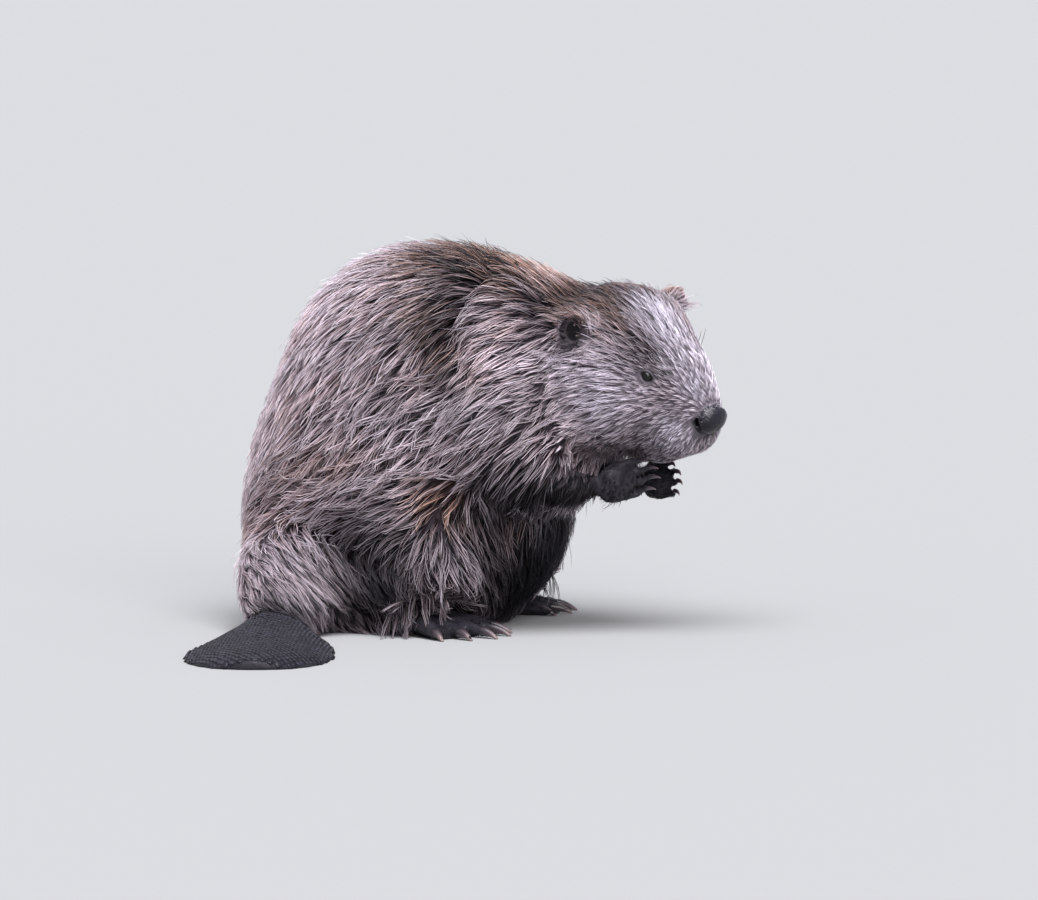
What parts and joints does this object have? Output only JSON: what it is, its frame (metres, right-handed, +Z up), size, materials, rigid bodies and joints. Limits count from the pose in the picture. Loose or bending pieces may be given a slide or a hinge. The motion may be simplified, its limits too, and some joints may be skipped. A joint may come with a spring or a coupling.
{
  "type": "beaver",
  "caption": "Adult beaver at life size in a wet coat, sitting hunched on its haunches with both hands held to its mouth and its flat scaly tail swung to one side.",
  "frame": {"origin": "On the floor, under the middle of the animal's box.", "axes": "+Z up. The animal faces +X and a little towards -Y, the side its tail is swung to; +Y is towards its left side."},
  "size_m": [0.4424, 0.5276, 0.3189],
  "materials": {
    "fur": "wet matted fur",
    "bare_skin": "damp bare skin",
    "eye": "wet gloss",
    "tail_scales": "wet scaly skin"
  },
  "bodies": {
    "root": {"trunk": "fur", "neck": "fur", "head": "fur", "lower_jaw": "fur", "ear_left": "fur", "ear_right": "fur", "upper_arm_left": "fur", "upper_arm_right": "fur", "forearm_left": "fur", "forearm_right": "fur", "haunch_left": "fur", "haunch_right": "fur", "tail_root": "fur", "nose": "bare_skin", "hand_left": "bare_skin", "hand_right": "bare_skin", "hind_foot_left": "bare_skin", "hind_foot_right": "bare_skin", "eye_left": "eye", "eye_right": "eye", "tail_paddle": "tail_scales"}
  },
  "joints": []
}
